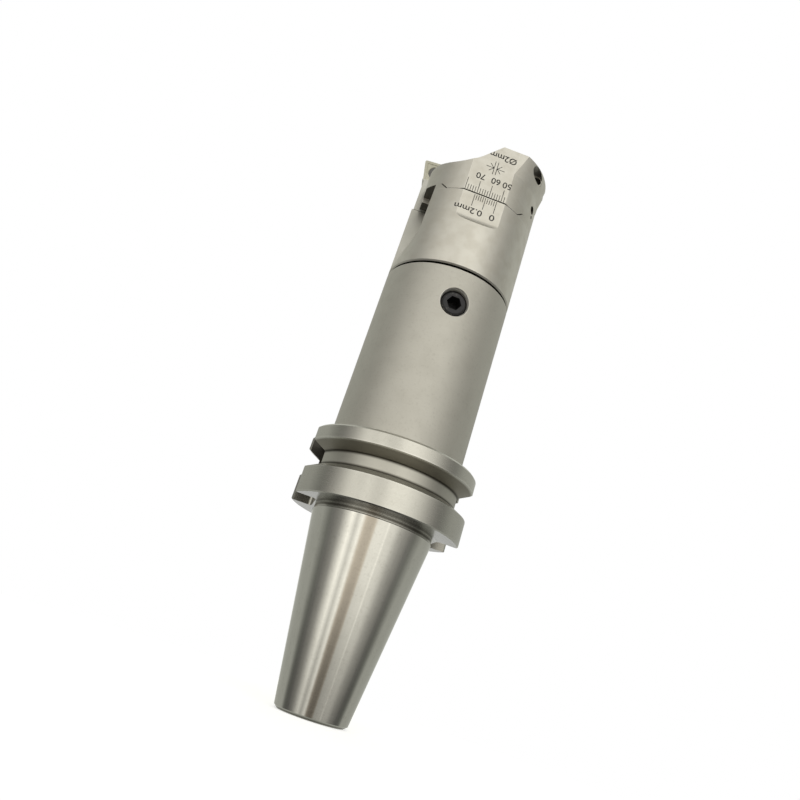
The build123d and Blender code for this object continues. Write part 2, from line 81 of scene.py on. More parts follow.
# %% [markdown]
# ## Small helpers for shader nodes
# A shader tree is a list of nodes and links. It could be drawn by hand in the editor. In a script, a few
# helpers keep the recipes short: one adds a node and fills its sockets with values or links, and the
# others are the steps that come back in every recipe.

# %% Node helpers
def add(tree, kind, inputs=None, **settings):
    """A shader node: settings are its properties, inputs its sockets with a value or a link."""
    made = tree.nodes.new("ShaderNode" + kind)
    for name, value in settings.items():
        setattr(made, name, value)
    for socket, value in (inputs or {}).items():
        if isinstance(value, bpy.types.NodeSocket):
            tree.links.new(value, made.inputs[socket])
        else:
            made.inputs[socket].default_value = value
    return made


def calc(tree, operation, *values):
    """One step of arithmetic on numbers and sockets."""
    return add(tree, "Math", dict(enumerate(values)), operation=operation).outputs[0]


def stretch(tree, value, low, high, to_low=0.0, to_high=1.0):
    """A value carried from one range to another, eased at both ends and held outside them."""
    sockets = {"Value": value, "From Min": low, "From Max": high, "To Min": to_low, "To Max": to_high}
    return add(tree, "MapRange", sockets, interpolation_type="SMOOTHSTEP").outputs["Result"]


def blend(tree, share, first, second):
    """Two colours mixed by a share from 0 to 1."""
    made = add(tree, "Mix", {"Factor": share}, data_type="RGBA")
    for socket, value in ((6, first), (7, second)):
        if isinstance(value, bpy.types.NodeSocket):
            tree.links.new(value, made.inputs[socket])
        else:
            made.inputs[socket].default_value = (*value, 1.0)
    return made.outputs[2]


def ramp(tree, value, stops):
    """A colour ramp over -1 to 1; a stop is its place and a colour."""
    made = add(tree, "ValToRGB", {"Fac": calc(tree, "MULTIPLY_ADD", value, 0.5, 0.5)})
    elements = made.color_ramp.elements
    elements[0].position, elements[1].position = 0.0, 1.0
    for place, colour in stops[1:-1]:
        elements.new((place + 1) / 2).color = (*colour, 1.0)
    elements[0].color = (*stops[0][1], 1.0)
    elements[-1].color = (*stops[-1][1], 1.0)
    return made.outputs["Color"]


print("node helpers ready")

# %% [markdown]
# ## The studio's directions
# Bare metal has little colour of its own: it shows the room. Lamps and cards could make that room, but
# a taper that is almost a mirror shows the hard edge of each card. So the room is painted by direction.
# Three numbers say where a direction points: towards the camera's side, across to its right, and up.

# %% Directions of the room
world = bpy.data.worlds.new("studio")
scene.world = world
world.use_nodes = True
room = world.node_tree
view_level = Vector((camera_look.x, camera_look.y, 0)).normalized()
right_level = Vector((view_level.y, -view_level.x, 0))
direction = add(room, "TexCoord").outputs["Generated"]
toward = add(room, "VectorMath", {0: direction, 1: -view_level}, operation="DOT_PRODUCT").outputs["Value"]
across = add(room, "VectorMath", {0: direction, 1: right_level}, operation="DOT_PRODUCT").outputs["Value"]
height = add(room, "SeparateXYZ", {0: direction}).outputs["Z"]
print("level view direction:", [round(part, 3) for part in view_level])

# %% [markdown]
# ## The studio's light
# The photograph's taper shows a bright wall behind the camera with darker bands in it, dark sides, and
# light again at the grazing edges. One list gives the light by depth, from behind the tool to in front
# of it. Three give the bands from left to right: at eye level, lower, and lower still, where they grow
# darker and browner. The last gives the light of the wall by height.

# %% Lists of light
depth_stops = [(-1, 0.58), (-0.92, 0.36), (-0.83, 0.33), (-0.6, 0.31), (-0.3, 0.31), (0.05, 0.15), (0.2, 0.18),
               (0.45, 0.46), (0.6, 0.74), (0.8, 0.95), (1, 0.95)]
band_stops = [(-1, 0.8), (-0.88, 0.68), (-0.78, 0.68), (-0.65, 0.86), (-0.51, 0.62), (-0.35, 0.84), (-0.2, 0.62),
              (0.0, 0.64), (0.11, 0.9), (0.36, 0.92), (0.52, 0.82), (0.67, 0.75), (0.8, 0.7), (0.9, 0.72),
              (1, 0.8)]
low_stops = [(-1, 0.7), (-0.95, 0.5), (-0.88, 0.46), (-0.78, 0.65), (-0.65, 0.98), (-0.51, 0.54), (-0.35, 0.92),
             (-0.26, 0.56), (-0.18, 0.47), (0.0, 0.45), (0.07, 0.55), (0.12, 0.74), (0.36, 0.74), (0.43, 0.69),
             (0.465, 0.9), (0.5, 0.66), (0.52, 0.64), (0.67, 0.63), (0.8, 0.45), (0.89, 0.5), (0.96, 0.6),
             (1, 0.75)]
under_stops = [(-1, 0.8), (-0.95, 0.62), (-0.88, 0.54), (-0.78, 0.68), (-0.65, 0.98), (-0.51, 0.53), (-0.35, 1.0),
               (-0.26, 0.36), (-0.18, 0.22), (0.0, 0.19), (0.07, 0.3), (0.12, 0.46), (0.36, 0.55), (0.43, 0.54),
               (0.465, 0.74), (0.5, 0.53), (0.52, 0.53), (0.67, 0.6), (0.8, 0.5), (0.89, 0.57), (0.96, 0.62),
               (1, 0.8)]
level_stops = [(-1, 0.3), (-0.5, 0.36), (-0.36, 0.48), (-0.3, 0.6), (-0.2, 0.92), (-0.1, 1.0), (1, 1.0)]


def grey(level, warmth=0.03):
    """A light grey with a little warmth, as a colour."""
    return (level, level * (1 - warmth / 2), level * (1 - warmth * 2))


def brown_band(place, level):
    """The lower bands: grey, and brown from the middle to a little left of it."""
    return (level, level * 0.9, level * 0.79) if -0.3 < place < 0.1 else grey(level, 0.02)


def side_grey(place, level):
    """The light by depth: warm in front, a touch greener at the sides and behind."""
    return grey(level) if place > 0.1 else (level, level * 1.01, level * 0.92)


print("stops:", [len(stops) for stops in (depth_stops, band_stops, low_stops, under_stops, level_stops)])

# %% [markdown]
# ## The studio put together
# The light by depth is multiplied by the bands, which fade out at the sides, and by the light by height.
# The camera itself sees white. So do mirrors that look straight behind the tool, because there the real
# metal shows the white background at its grazing edges.

# %% Studio light
ROOM_LEVEL = 1.56


def times(tree, first, second):
    """Two colours multiplied."""
    return add(tree, "VectorMath", {0: first, 1: second}, operation="MULTIPLY").outputs["Vector"]


depth_light = ramp(room, toward, [(place, side_grey(place, level)) for place, level in depth_stops])
band_light = ramp(room, across, [(place, grey(level, 0.02)) for place, level in band_stops])
low_light = ramp(room, across, [(place, brown_band(place, level)) for place, level in low_stops])
under_light = ramp(room, across, [(place, brown_band(place, level)) for place, level in under_stops])
level_light = ramp(room, height, [(place, grey(level, 0)) for place, level in level_stops])
low_light = blend(room, stretch(room, height, -0.13, -0.34), low_light, under_light)
band_light = blend(room, stretch(room, height, 0.12, -0.06), band_light, low_light)
in_front = stretch(room, toward, 0.0, 0.35)
banded = blend(room, in_front, (0.8, 0.8, 0.8), band_light)
low_side = calc(room, "MULTIPLY", stretch(room, height, -0.04, -0.27), stretch(room, toward, -0.25, -0.05))
side_level = calc(room, "MULTIPLY", calc(room, "MULTIPLY_ADD", low_side, -0.45, 1.0),
                  stretch(room, height, 0.15, 0.45, 1.0, 1.5))
studio = times(room, times(room, depth_light, banded), blend(room, in_front, side_level, level_light))
studio = add(room, "VectorMath", {0: studio, 3: ROOM_LEVEL}, operation="SCALE").outputs["Vector"]
rays = add(room, "LightPath").outputs
behind = calc(room, "MULTIPLY", rays["Is Glossy Ray"], stretch(room, toward, -0.94, -1.0))
sky = blend(room, calc(room, "MAXIMUM", rays["Is Camera Ray"], behind), studio, (1.0, 1.0, 1.0))
room.links.new(sky, room.nodes["Background"].inputs["Color"])
room.nodes["Background"].inputs["Strength"].default_value = 1.0
print("studio uses", len(room.nodes), "nodes")

# %% [markdown]
# ## Surfaces from arrays
# Every new piece is a surface worked out with numpy: a grid of points that are a function of two
# parameters. One helper turns such a grid into faces, one makes the mesh, and one puts a finished mesh
# into the scene on the body that carries it.

# %% Mesh helpers
def grid_faces(rows, columns, closed=False):
    """Quads of a grid, row by row; closed joins the last column to the first."""
    row = np.arange(rows - 1)[:, None] * columns
    column = np.arange(columns if closed else columns - 1)[None, :]
    after = (column + 1) % columns
    corners = (row + column, row + after, row + columns + after, row + columns + column)
    return np.stack(corners, -1).reshape(-1, 4)


def new_mesh(name, points, faces):
    """A mesh from an array of points and an array of faces."""
    mesh = bpy.data.meshes.new(name)
    mesh.from_pydata(points.reshape(-1, 3).tolist(), [], faces.tolist())
    mesh.update()
    return mesh


def put(name, mesh, material, body=None):
    """An object for a mesh, with its finish, riding on a body where one is named."""
    piece = bpy.data.objects.new(name, mesh)
    mesh.materials.append(material)
    scene.collection.objects.link(piece)
    if body:
        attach(piece, body)
    return piece


print("mesh helpers ready")

# %% [markdown]
# ## Starting a finish
# Every finish starts the same way: a new material, its main shader and some noise. Bump from that noise
# gives the skin its grain, and the finish is then given to the solids that have it.

# %% Finish helpers
def start_finish(name, metallic):
    """A new material with its tree and its main shader."""
    finish = bpy.data.materials.new(name)
    finish.use_nodes = True
    shader = finish.node_tree.nodes["Principled BSDF"]
    shader.inputs["Metallic"].default_value = metallic
    return finish, finish.node_tree, shader


def object_places(tree):
    """Places on the piece in metres, which stay with it when it moves."""
    return add(tree, "TexCoord").outputs["Object"]


def noise(tree, places, fineness, detail, distortion=0.0):
    """Cloudy noise between 0 and 1 over some places."""
    sockets = {"Vector": places, "Scale": fineness, "Detail": detail, "Distortion": distortion}
    return add(tree, "TexNoise", sockets).outputs["Fac"]


def roughen(tree, shader, grain, depth_mm, strength):
    """Bump of a depth in mm from a grain between 0 and 1."""
    bump = add(tree, "Bump", {"Height": grain, "Distance": depth_mm * MM, "Strength": strength})
    tree.links.new(bump.outputs["Normal"], shader.inputs["Normal"])


def wear(finish, *names):
    """Give a finish to the solids that have it."""
    for name in names:
        for place in nodes[name].material_slots:
            place.material = finish


print("finish helpers ready")

# %% [markdown]
# ## The floor
# The tool stands on its small end on a pale round table. Mirrors don't see it, because the painted room
# already holds the light that the steel shows from below. To the camera it gets a little light of its own,
# so that it is white where nothing shades it and keeps the shadow. Seen from below it is clear, so that
# the small end can be looked at too.

# %% Floor
TABLE_R, TABLE_HOLE_R, TABLE_GAP = 0.2, 0.001, 0.00005
TABLE_RINGS, TABLE_SECTORS = 12, 96


def disc(hole, radius, level, rings, sectors):
    """Flat disc with a small hole: x = r cos t, y = r sin t, with r and t on a grid."""
    reach = np.linspace(hole, radius, rings)[:, None]
    turn = np.linspace(0, 2 * np.pi, sectors, endpoint=False)[None, :]
    return np.stack((reach * np.cos(turn), reach * np.sin(turn), np.full((rings, sectors), level)), -1)


pale_table, tree, shader = start_finish("pale table", 0.0)
shader.inputs["Roughness"].default_value = 0.8
shader.inputs["Specular IOR Level"].default_value = 0.1
grain = noise(tree, object_places(tree), 60.0, 2.0)
tree.links.new(blend(tree, grain, (0.8, 0.8, 0.79), (0.84, 0.84, 0.83)), shader.inputs["Base Color"])
lift = add(tree, "Emission", {"Color": (1, 1, 1, 1), "Strength": 0.62}).outputs[0]
nothing = add(tree, "Emission", {"Strength": 0.0}).outputs[0]
to_camera = add(tree, "LightPath").outputs["Is Camera Ray"]
own_light = add(tree, "MixShader", {0: to_camera, 1: nothing, 2: lift}).outputs[0]
lit = add(tree, "AddShader", {0: shader.outputs[0], 1: own_light}).outputs[0]
from_below = add(tree, "NewGeometry").outputs["Backfacing"]
clear = add(tree, "BsdfTransparent").outputs[0]
one_sided = add(tree, "MixShader", {0: from_below, 1: lit, 2: clear}).outputs[0]
tree.links.new(one_sided, tree.nodes["Material Output"].inputs["Surface"])
table_points = disc(TABLE_HOLE_R, TABLE_R, cad_low.z - TABLE_GAP, TABLE_RINGS, TABLE_SECTORS)
table_mesh = new_mesh("table", table_points, grid_faces(TABLE_RINGS, TABLE_SECTORS, closed=True)[:, ::-1])
table = put("table", table_mesh, pale_table)
table.visible_glossy = False
print("table of", len(table_mesh.polygons), "faces at", round(cad_low.z / MM, 1), "mm")

# %% [markdown]
# ## Coordinates for turned steel
# A lathe leaves fine rings. On a cylinder they run round it, on a flange's face they are circles, so
# the marks depend on the radius and the height and hardly on the angle. A texture wrapped round each
# piece could carry them, but noise over radius and height needs no wrapping and suits every face.

# %% Turned steel coordinates
def turned_places(tree):
    """Object coordinates, their three parts, and the radius about the tool's axis."""
    places = object_places(tree)
    split = add(tree, "SeparateXYZ", {0: places}).outputs
    flat = add(tree, "CombineXYZ", {"X": split["X"], "Y": split["Y"]}).outputs[0]
    radius = add(tree, "VectorMath", {0: flat}, operation="LENGTH").outputs["Value"]
    return places, split, radius


def facing_parts(tree):
    """The three parts of the direction in which a face looks."""
    return add(tree, "SeparateXYZ", {0: add(tree, "TexCoord").outputs["Normal"]}).outputs


def ring_marks(tree, radius, split, fineness):
    """Noise that runs in rings: it changes quickly with radius and height, slowly across."""
    sway = calc(tree, "MULTIPLY", split["X"], 0.04)
    lathe = add(tree, "CombineXYZ", {"X": radius, "Y": split["Z"], "Z": sway}).outputs[0]
    return noise(tree, lathe, fineness, 3.0)


print("turned coordinates ready")

# %% [markdown]
# ## Masks
# A mask is a number for each place: 1 where a finish holds, 0 elsewhere. Painted shade in a corner or a
# painted highlight on an edge could be drawn by hand. Here each is worked out from the distance to an edge, a
# bore or a line, in the solids' own millimetres, so it stays sharp in every close view.

# %% Mask helpers
def by_mm(tree, value, start, full):
    """A mask that is 0 at a start and 1 at a full value, both in mm, and eased between them."""
    return stretch(tree, value, start * MM, full * MM)


def all_of(tree, *masks):
    """The mask where all of some masks hold: their product."""
    made = masks[0]
    for mask in masks[1:]:
        made = calc(tree, "MULTIPLY", made, mask)
    return made


def any_of(tree, *masks):
    """The mask where any of some masks holds: the largest."""
    made = masks[0]
    for mask in masks[1:]:
        made = calc(tree, "MAXIMUM", made, mask)
    return made


def nearest(tree, first, second, spots):
    """Distance to the nearest of some spots, each given as two coordinates in mm."""
    here = add(tree, "CombineXYZ", {"X": first, "Y": second}).outputs[0]
    gaps = [add(tree, "VectorMath", {0: here, 1: (a * MM, b * MM, 0)}, operation="DISTANCE").outputs["Value"]
            for a, b in spots]
    least = gaps[0]
    for gap in gaps[1:]:
        least = calc(tree, "MINIMUM", least, gap)
    return least


def near_edges(tree, first, second, edges, reach):
    """1 on listed edges, falling to 0 at a reach in mm."""
    return by_mm(tree, nearest(tree, first, second, edges), reach, 0.0)


def within(tree, first, second, centre, radius):
    """1 inside a circle of a radius in mm and on its rim, as on a bore's wall, and 0 from 0.05 mm outside it."""
    return by_mm(tree, nearest(tree, first, second, [centre]), radius + 0.05, radius + 0.02)


def from_line(tree, places, point, direction):
    """Distance from a straight line through a point in mm: the length of the cross product with its direction."""
    away = add(tree, "VectorMath", {0: places, 1: Vector(point) * MM}, operation="SUBTRACT").outputs["Vector"]
    crossed = add(tree, "VectorMath", {0: away, 1: direction}, operation="CROSS_PRODUCT").outputs["Vector"]
    return add(tree, "VectorMath", {0: crossed}, operation="LENGTH").outputs["Value"]


print("mask helpers ready")

# %% [markdown]
# ## Laying a shade over a colour
# A finish is a base colour with stains, oil, painted shade and painted highlights laid over it one by one.
# Roughness varies in the same way: the marks raise and lower a middle value.

# %% Shade helpers
# black for oil in the joints, and for painted shade in bores, seams, guides and under the slides
BLACK_OIL_AND_SHADE = (0.03, 0.028, 0.024)


def tint(tree, colour, mask, shade, strength=1.0):
    """A colour with a shade laid over it where a mask holds."""
    share = mask if strength == 1.0 else calc(tree, "MULTIPLY", mask, strength)
    return blend(tree, share, colour, shade)


def between(tree, mask, first, second):
    """One number where a mask is 0 and another where it is 1."""
    return add(tree, "Mix", {0: mask, 2: first, 3: second}).outputs[0]


def vary(tree, value, marks, amount):
    """A value that marks between 0 and 1 lower and raise by half an amount."""
    return calc(tree, "MULTIPLY_ADD", calc(tree, "SUBTRACT", marks, 0.5), amount, value)


print("shade helpers ready")

# %% [markdown]
# ## The arbor's zones
# One piece of hardened steel with four finishes. The taper is ground, almost a mirror. The flange is fine
# turned. The groove is duller, and so is the body above it. The zones follow the height, with the
# gauge line at zero. Faint clouds and fine specks are what hands, oil and cleaning leave.

# %% Arbor steel, its zones
STAIN = (0.33, 0.31, 0.265)
arbor_steel, tree, shader = start_finish("arbor steel", 1.0)
places, split, radius = turned_places(tree)
level = split["Z"]
rings = ring_marks(tree, radius, split, 5200.0)
broad_rings = ring_marks(tree, radius, split, 900.0)
clouds = noise(tree, places, 150.0, 5.0)
specks = noise(tree, places, 1100.0, 5.0)
is_taper = by_mm(tree, level, 0.4, 0.1)
is_body = by_mm(tree, level, 26.9, 27.6)
in_groove = all_of(tree, by_mm(tree, radius, 31.2, 30.6), by_mm(tree, level, 10.5, 12),
                   by_mm(tree, level, 23.5, 22))
colour = blend(tree, is_taper, (0.6, 0.592, 0.545), (0.72, 0.714, 0.665))
colour = tint(tree, colour, is_body, (0.645, 0.634, 0.584))
colour = tint(tree, colour, in_groove, (0.54, 0.53, 0.48))
colour = tint(tree, colour, stretch(tree, clouds, 0.42, 0.72), STAIN, 0.08)
colour = tint(tree, colour, stretch(tree, specks, 0.52, 0.74), STAIN, 0.14)
print("arbor zones use", len(tree.nodes), "nodes")

# %% [markdown]
# ## The arbor's shade
# The groove's upper flank, the flange's underside and the keyways look away from the light, and shade is
# painted into their colour, so they are darker than light alone makes them. The way a face looks tells them
# apart.

# %% Arbor steel, its shade
facing = facing_parts(tree)
shaded_groove_flank = all_of(tree, in_groove, stretch(tree, facing["Z"], -0.5, -0.8))
shaded_flange_underside = all_of(tree, stretch(tree, facing["Z"], -0.9, -0.97), by_mm(tree, radius, 21.8, 22.4))
shaded_keyway = all_of(tree, by_mm(tree, calc(tree, "ABSOLUTE", split["X"]), 22.6, 22.8),
                   stretch(tree, calc(tree, "ABSOLUTE", facing["Y"]), 0.9, 0.97))
keyway_shade_depth = all_of(tree, by_mm(tree, level, 10, 19), stretch(tree, facing["Y"], 0.5, -0.5))
keyway_shade = blend(tree, keyway_shade_depth, (0.3, 0.292, 0.265), (0.05, 0.048, 0.042))
# painted shade: the groove's upper flank, the flange's underside and the keyway walls are darkened in colour
colour = tint(tree, colour, shaded_groove_flank, (0.22, 0.2, 0.16), 0.68)
colour = tint(tree, colour, shaded_flange_underside, (0.34, 0.338, 0.32))
colour = tint(tree, colour, shaded_keyway, keyway_shade)
print("arbor with its shade uses", len(tree.nodes), "nodes")

# %% [markdown]
# ## The arbor's joint, painted shade and painted highlights
# The corners of groove and neck and the small end's rim on the table are painted dark as shade, and the
# joint under the head is black with oil. Handled edges are rubbed bright and get a painted highlight, and
# the lock screw's hole gets a painted highlight on its rim. Edges and corners are listed by radius and height.

# %% Arbor steel, its joint, painted shade and highlights
shaded_neck_corners = [(21.9, 1.2), (25.3, 27.4), (12.2, -65.1)]
shaded_groove_corners = [(26.5, 14.25), (26.5, 18.95)]
rubbed_and_highlight_edges = [(31.5, 2.2), (31.5, 11.4), (31.5, 21.9), (31.5, 26.6), (25, 97.3), (22.2, 0.0)]
lock_place, lock_axis = (0, 0, 83.8), (0.05408, -0.99854, 0)
from_lock = from_line(tree, places, lock_place, lock_axis)
lock_rim_highlight = all_of(tree, by_mm(tree, from_lock, 5.8, 5.6), by_mm(tree, radius, 23.9, 24.2),
                  by_mm(tree, split["Y"], 0, -5))
in_joint = by_mm(tree, level, 97.44, 97.48)
# painted shade: the corners of groove and neck and the small end's rim are darkened in colour
colour = tint(tree, colour, near_edges(tree, radius, level, shaded_neck_corners, 0.8), (0.13, 0.12, 0.095), 0.85)
colour = tint(tree, colour, near_edges(tree, radius, level, shaded_groove_corners, 0.95), (0.06, 0.055, 0.043), 0.95)
# rubbed edges with a painted highlight: the colour is lighter along the handled edges
colour = tint(tree, colour, near_edges(tree, radius, level, rubbed_and_highlight_edges, 0.5), (0.8, 0.79, 0.75), 0.5)
colour = tint(tree, colour, in_joint, BLACK_OIL_AND_SHADE)
# painted highlight: a light ring of colour on the rim of the lock screw's hole
colour = tint(tree, colour, lock_rim_highlight, (0.9, 0.89, 0.85), 0.8)
tree.links.new(colour, shader.inputs["Base Color"])
print("edges and corners:", len(shaded_neck_corners + shaded_groove_corners + rubbed_and_highlight_edges))

# %% [markdown]
# ## The arbor's sheen
# The same zones set how sharp the mirror is. The lathe's rings vary it a little and lift the surface by a
# few thousandths of a millimetre, which is what makes turned steel glint in bands.

# %% Arbor steel, its sheen
dull = between(tree, is_taper, 0.25, 0.11)
dull = between(tree, in_groove, dull, 0.4)
dull = between(tree, is_body, dull, 0.57)
dull = vary(tree, dull, rings, 0.14)
dull = vary(tree, dull, clouds, 0.05)
tree.links.new(dull, shader.inputs["Roughness"])
roughen(tree, shader, calc(tree, "ADD", rings, broad_rings), 0.004, 0.5)
wear(arbor_steel, "taper_arbor")
print("arbor steel uses", len(tree.nodes), "nodes")

# %% [markdown]
# ## The nickel plated head's dark places and painted shade
# The head and its cartridges are plated. Where the head sits on the arbor its foot is relieved, and that
# narrow space is black with oil. The small bores in the cartridges' ends are painted black as shade. The seam,
# the guides, the slides' undersides and the insert screws' holes get painted shade that is a little less dark.
# The rear cartridge is the front one turned half round, so distances without their sign serve both.

# %% Nickel plating, its dark places
nickel, tree, shader = start_finish("satin nickel", 1.0)
places, split, radius = turned_places(tree)
level = split["Z"]
side_x, side_y = calc(tree, "ABSOLUTE", split["X"]), calc(tree, "ABSOLUTE", split["Y"])
facing = facing_parts(tree)
in_joint = by_mm(tree, level, 98.42, 98.38)
# painted shade: the small bores in the cartridges' ends are painted black
small_bores = any_of(tree, within(tree, side_y, level, (12.9, 141.8), 1.56),
                     within(tree, side_y, level, (11.9, 139.2), 0.65))
outer_end = stretch(tree, calc(tree, "MULTIPLY", split["X"], split["Y"]), -0.00005, -0.0001)
# painted shade: the seam, the guides and the slides' undersides are darkened in colour
in_seam = all_of(tree, by_mm(tree, side_y, 23.44, 23.41), by_mm(tree, side_y, 22.5, 22.6),
                 by_mm(tree, level, 132.8, 132.7), by_mm(tree, level, 131.98, 132.02),
                 by_mm(tree, side_x, 8.8, 8.6))
guide_level = all_of(tree, by_mm(tree, level, 132.0, 132.1), by_mm(tree, level, 136.2, 136.0))
in_guide = all_of(tree, guide_level, by_mm(tree, radius, 24.95, 24.9), by_mm(tree, side_y, 14.4, 14.6),
                  by_mm(tree, side_y, 22.6, 22.4))
under_slide = all_of(tree, guide_level, stretch(tree, facing["Z"], -0.8, -0.95))
print("dark places use", len(tree.nodes), "nodes")

# %% [markdown]
# ## The insert screws' holes
# Each hole is tilted about two axes, as the insert is, so it can't be told by height and radius. The
# distance from the hole's own axis does it: the thread near the axis gets dark painted shade, the wide exit's
# wall a lighter one.

# %% Nickel plating, its screw holes
hole_place, hole_axis = Vector((20.801, -1.843, 152.968)), Vector((-0.12109, -0.98617, 0.1132))
half_turn = Matrix.Diagonal((-1, -1, 1))
from_hole = calc(tree, "MINIMUM", from_line(tree, places, hole_place, hole_axis),
                 from_line(tree, places, half_turn @ hole_place, half_turn @ hole_axis))
in_thread = by_mm(tree, from_hole, 2.14, 2.1)
on_wall = all_of(tree, by_mm(tree, from_hole, 2.6, 2.57), by_mm(tree, from_hole, 2.48, 2.52))
# painted shade in the seam, guides, slide undersides and screw threads; the exit walls get half of it
shaded_recesses = calc(tree, "MULTIPLY", any_of(tree, in_seam, in_guide, under_slide, in_thread), 0.83)
# dark: black oil in the joint under the head, and painted shade in bores and recesses
dark = any_of(tree, in_joint, all_of(tree, small_bores, outer_end), shaded_recesses, calc(tree, "MULTIPLY", on_wall, 0.5))
print("with the screw holes:", len(tree.nodes), "nodes")

# %% [markdown]
# ## The nickel plating
# Plating makes an even, light surface with a soft sheen. The turned rings under it still show faintly, its
# sharp edges get painted highlights, and the faces across the gullets are a little darker and greyer.

# %% Nickel plating, its colour and sheen
BODY_R, FLAT_Y = 25.0, 23.47
FLAT_EDGE = math.sqrt(BODY_R ** 2 - FLAT_Y ** 2)
rings = ring_marks(tree, radius, split, 4200.0)
clouds = noise(tree, places, 220.0, 4.0)
speckle = noise(tree, places, 2600.0, 2.0)
rims = near_edges(tree, radius, level, [(BODY_R, 98.9), (BODY_R, 132.05), (26.5, 157.55)], 0.35)
flat_edge_highlights = all_of(tree, near_edges(tree, side_x, side_y, [(FLAT_EDGE, FLAT_Y)], 0.3),
                    by_mm(tree, level, 121.5, 123))
gullet_faces = all_of(tree, by_mm(tree, side_y, 2.6, 2.4),
                stretch(tree, calc(tree, "ABSOLUTE", facing["Y"]), 0.9, 0.97))
colour = blend(tree, stretch(tree, clouds, 0.35, 0.7), (0.72, 0.705, 0.65), (0.67, 0.65, 0.59))
# the faces across the gullets, near the middle plane, are darker and greyer in colour
colour = tint(tree, colour, gullet_faces, (0.54, 0.54, 0.505))
# painted highlights: lighter colour along the rims and the flat's edges
colour = tint(tree, colour, any_of(tree, rims, flat_edge_highlights), (0.8, 0.785, 0.74), 0.5)
colour = tint(tree, colour, dark, BLACK_OIL_AND_SHADE)
tree.links.new(colour, shader.inputs["Base Color"])
dull = vary(tree, vary(tree, 0.46, clouds, 0.12), rings, 0.08)
tree.links.new(dull, shader.inputs["Roughness"])
roughen(tree, shader, calc(tree, "ADD", rings, speckle), 0.003, 0.4)
wear(nickel, "head_body", "front_cartridge", "rear_cartridge", "front_retaining_pin", "rear_retaining_pin")
print("nickel uses", len(tree.nodes), "nodes")

# %% [markdown]
# ## Screws
# The socket screws are black oxide: dark, slightly blue, with bare steel showing through where a key or a
# washer has rubbed. The inserts' small screws are a lighter, hardened grey. One noise drives the colour,
# the sheen and the bump together, because on the real screws they change in the same spots.

# %% Black and grey screws
black_oxide, tree, shader = start_finish("black oxide", 0.75)
scuffs = noise(tree, object_places(tree), 900.0, 6.0)
colour = tint(tree, (0.038, 0.038, 0.041), stretch(tree, scuffs, 0.58, 0.75), (0.3, 0.29, 0.27), 0.35)
tree.links.new(colour, shader.inputs["Base Color"])
tree.links.new(calc(tree, "MULTIPLY_ADD", scuffs, 0.25, 0.26), shader.inputs["Roughness"])
roughen(tree, shader, scuffs, 0.006, 0.4)
wear(black_oxide, "lock_screw", "front_adjusting_screw", "rear_adjusting_screw", "front_clamp_screw",
     "rear_clamp_screw")

grey_screw, tree, shader = start_finish("grey hardened screw", 0.9)
temper = noise(tree, object_places(tree), 1500.0, 4.0)
tree.links.new(blend(tree, temper, (0.1, 0.1, 0.098), (0.2, 0.198, 0.19)), shader.inputs["Base Color"])
tree.links.new(calc(tree, "MULTIPLY_ADD", temper, 0.2, 0.3), shader.inputs["Roughness"])
roughen(tree, shader, temper, 0.004, 0.4)
wear(grey_screw, "front_insert_screw", "rear_insert_screw")
print("black and grey screws ready")

# %% [markdown]
# ## Pins, washers and posts
# These are ground bright and hardly seen: pins and posts sit inside the tool, the washers under the clamp
# screws' heads. A fine, slightly twisted noise stands for the marks of a grinding wheel.

# %% Bright steel
bright_steel, tree, shader = start_finish("bright ground steel", 1.0)
scratches = noise(tree, object_places(tree), 3000.0, 3.0, 0.6)
tree.links.new(blend(tree, scratches, (0.62, 0.61, 0.58), (0.56, 0.55, 0.52)), shader.inputs["Base Color"])
tree.links.new(calc(tree, "MULTIPLY_ADD", scratches, 0.2, 0.16), shader.inputs["Roughness"])
roughen(tree, shader, scratches, 0.002, 0.4)
wear(bright_steel, "drive_pin_left", "drive_pin_right", "front_clamp_washer", "rear_clamp_washer",
     "front_nut_post", "rear_nut_post")
print("bright steel ready")

# %% [markdown]
# ## The inserts
# Sintered carbide with a pale coating: not a mirror but a fine, slightly sandy skin, cream with a
# touch of green. It is no bare metal, so its colour is its own.

# %% Coated carbide
carbide, tree, shader = start_finish("coated carbide", 0.0)
places = object_places(tree)
sand = noise(tree, places, 5200.0, 4.0)
drift = noise(tree, places, 260.0, 3.0)
colour = blend(tree, stretch(tree, drift, 0.3, 0.7), (0.72, 0.71, 0.6), (0.64, 0.63, 0.515))
colour = tint(tree, colour, stretch(tree, sand, 0.45, 0.8, 0.0, 0.4), (0.5, 0.48, 0.36))
tree.links.new(colour, shader.inputs["Base Color"])
tree.links.new(calc(tree, "MULTIPLY_ADD", sand, 0.2, 0.32), shader.inputs["Roughness"])
shader.inputs["Coat Weight"].default_value = 0.15
roughen(tree, shader, sand, 0.008, 0.5)
wear(carbide, "front_insert", "rear_insert")
print("carbide ready")

# %% [markdown]
# ## The ink in the engraving
# The scales are engraved and blackened. The black is dull and a little uneven, because it sits in a rough
# groove and is wiped off level with the metal.

# %% Engraving ink
ink, tree, shader = start_finish("engraved black", 0.0)
pits = noise(tree, object_places(tree), 4000.0, 3.0)
tree.links.new(blend(tree, pits, (0.012, 0.012, 0.013), (0.05, 0.048, 0.044)), shader.inputs["Base Color"])
tree.links.new(calc(tree, "MULTIPLY_ADD", pits, 0.3, 0.45), shader.inputs["Roughness"])
print("ink ready")

# %% [markdown]
# ## Strokes on a flat
# A line of the scale could be a picture on the surface. As a thin bar with its own faces it stays sharp in
# every view. A stroke is given by its two ends on the flat, and all bars
# of one group are one array. The same marks, turned half round the axis, are on the rear side.

# %% Strokes on a flat
PROUD, SUNK = 0.015, 0.03
BAR_CORNERS = 8


